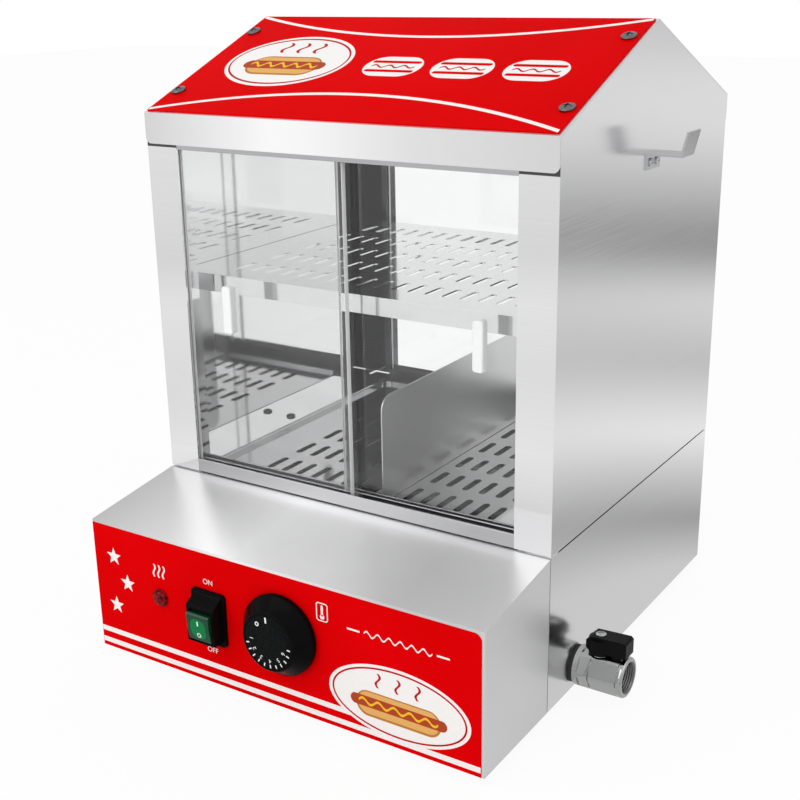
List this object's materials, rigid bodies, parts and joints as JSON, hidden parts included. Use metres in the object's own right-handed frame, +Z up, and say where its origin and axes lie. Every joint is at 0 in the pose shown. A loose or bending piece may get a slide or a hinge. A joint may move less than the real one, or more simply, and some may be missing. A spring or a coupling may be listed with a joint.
{
  "type": "hot dog steamer",
  "caption": "Countertop hot dog steamer: sloped control box, glazed warming cabinet with sliding doors under a gable roof, perforated trays over a water tank, drain valve.",
  "frame": {"origin": "bottom centre of the whole object's box, at the feet's underside", "axes": "+X to the operator's right, -Y towards the control panel, +Z up"},
  "size_m": [0.336, 0.3734, 0.4143],
  "materials": {
    "stainless_outer": "satin brushed stainless sheet",
    "stainless_inner": "polished stainless sheet",
    "stainless_fittings": "plain stainless",
    "zinc_steel": "zinc plated steel",
    "track_steel": "folded stainless channel",
    "divider_plate": "matt grey stainless",
    "red_print": "glossy printed film",
    "door_glass": "clear toughened glass",
    "clear_acrylic": "clear moulded acrylic",
    "black_phenolic": "black moulded plastic",
    "black_grip": "black dipped vinyl",
    "green_rocker": "translucent green moulding",
    "lamp_lens": "dark red faceted lens",
    "rubber": "matt black rubber",
    "seal_rubber": "silicone rubber",
    "chrome_brass": "chromium plated brass",
    "ptfe": "white seat plastic",
    "brass": "plain brass",
    "copper": "copper",
    "cream_ceramic": "cream insulating moulding",
    "wire_cover": "insulated wire"
  },
  "bodies": {
    "cabinet": {"base_shell": "stainless_outer", "bottom_plate": "stainless_fittings", "base_screws": "zinc_steel", "rubber_feet": "rubber", "foot_nuts": "zinc_steel", "control_box": "stainless_outer", "front_label": "red_print", "water_tank": "stainless_inner", "lower_tray": "stainless_inner", "side_panel_left": "stainless_outer", "side_panel_right": "stainless_outer", "roof_shell": "stainless_outer", "sign_panel": "red_print", "roof_screws": "zinc_steel", "roof_nuts": "zinc_steel", "deck_screws": "zinc_steel", "front_sill_track": "track_steel", "front_head_track": "track_steel", "rear_sill_track": "track_steel", "rear_head_track": "track_steel", "upper_shelf": "stainless_inner", "shelf_rails": "stainless_fittings", "tong_hook": "stainless_fittings", "hook_screws": "zinc_steel", "thermostat_case": "cream_ceramic", "thermostat_screws": "zinc_steel", "thermostat_bulb": "copper", "switch_housing": "black_phenolic", "switch_tabs": "brass", "pilot_lens": "lamp_lens", "pilot_body": "black_phenolic", "heating_element": "stainless_fittings", "element_nuts": "brass", "element_gaskets": "seal_rubber", "drain_pipe": "stainless_fittings", "drain_gasket": "rubber", "valve_body": "chrome_brass", "valve_end": "chrome_brass", "valve_seats": "ptfe", "cord_gland": "black_grip", "gland_nut": "black_grip", "terminal_block": "cream_ceramic", "wiring": "wire_cover"},
    "front_left_door": {"front_door_left_glass": "door_glass", "front_door_left_handle": "clear_acrylic"},
    "front_right_door": {"front_door_right_glass": "door_glass", "front_door_right_handle": "clear_acrylic"},
    "rear_left_door": {"rear_door_left_glass": "door_glass", "rear_door_left_handle": "clear_acrylic"},
    "rear_right_door": {"rear_door_right_glass": "door_glass", "rear_door_right_handle": "clear_acrylic"},
    "bun_divider": {"divider": "divider_plate"},
    "thermostat_dial": {"thermostat_knob": "black_phenolic", "thermostat_shaft": "stainless_fittings"},
    "power_rocker": {"switch_rocker": "green_rocker"},
    "drain_lever": {"valve_lever": "black_grip", "lever_screw": "chrome_brass", "valve_stem": "chrome_brass", "valve_ball": "chrome_brass"}
  },
  "joints": [
    {"name": "front_left_door_slide", "type": "slide", "parent": "cabinet", "child": "front_left_door", "axis": [1, 0, 0], "range_m": [0, 0.08]},
    {"name": "front_right_door_slide", "type": "slide", "parent": "cabinet", "child": "front_right_door", "axis": [1, 0, 0], "range_m": [-0.08, 0]},
    {"name": "rear_left_door_slide", "type": "slide", "parent": "cabinet", "child": "rear_left_door", "axis": [1, 0, 0], "range_m": [0, 0.08]},
    {"name": "rear_right_door_slide", "type": "slide", "parent": "cabinet", "child": "rear_right_door", "axis": [1, 0, 0], "range_m": [-0.08, 0]},
    {"name": "divider_slide", "type": "slide", "parent": "cabinet", "child": "bun_divider", "axis": [1, 0, 0], "range_m": [-0.115, 0.098]},
    {"name": "dial_turn", "type": "hinge", "parent": "cabinet", "child": "thermostat_dial", "pos_m": [-0.0105, -0.18025, 0.059], "axis": [0, 1, 0], "range_deg": [0, 270]},
    {"name": "rocker_tip", "type": "hinge", "parent": "cabinet", "child": "power_rocker", "pos_m": [-0.068, -0.17855, 0.0519], "axis": [1, 0, 0], "range_deg": [-14, 0]},
    {"name": "lever_turn", "type": "hinge", "parent": "cabinet", "child": "drain_lever", "pos_m": [0.1485, -0.05175, 0.021], "axis": [0, 0, 1], "range_deg": [-90, 0]}
  ]
}
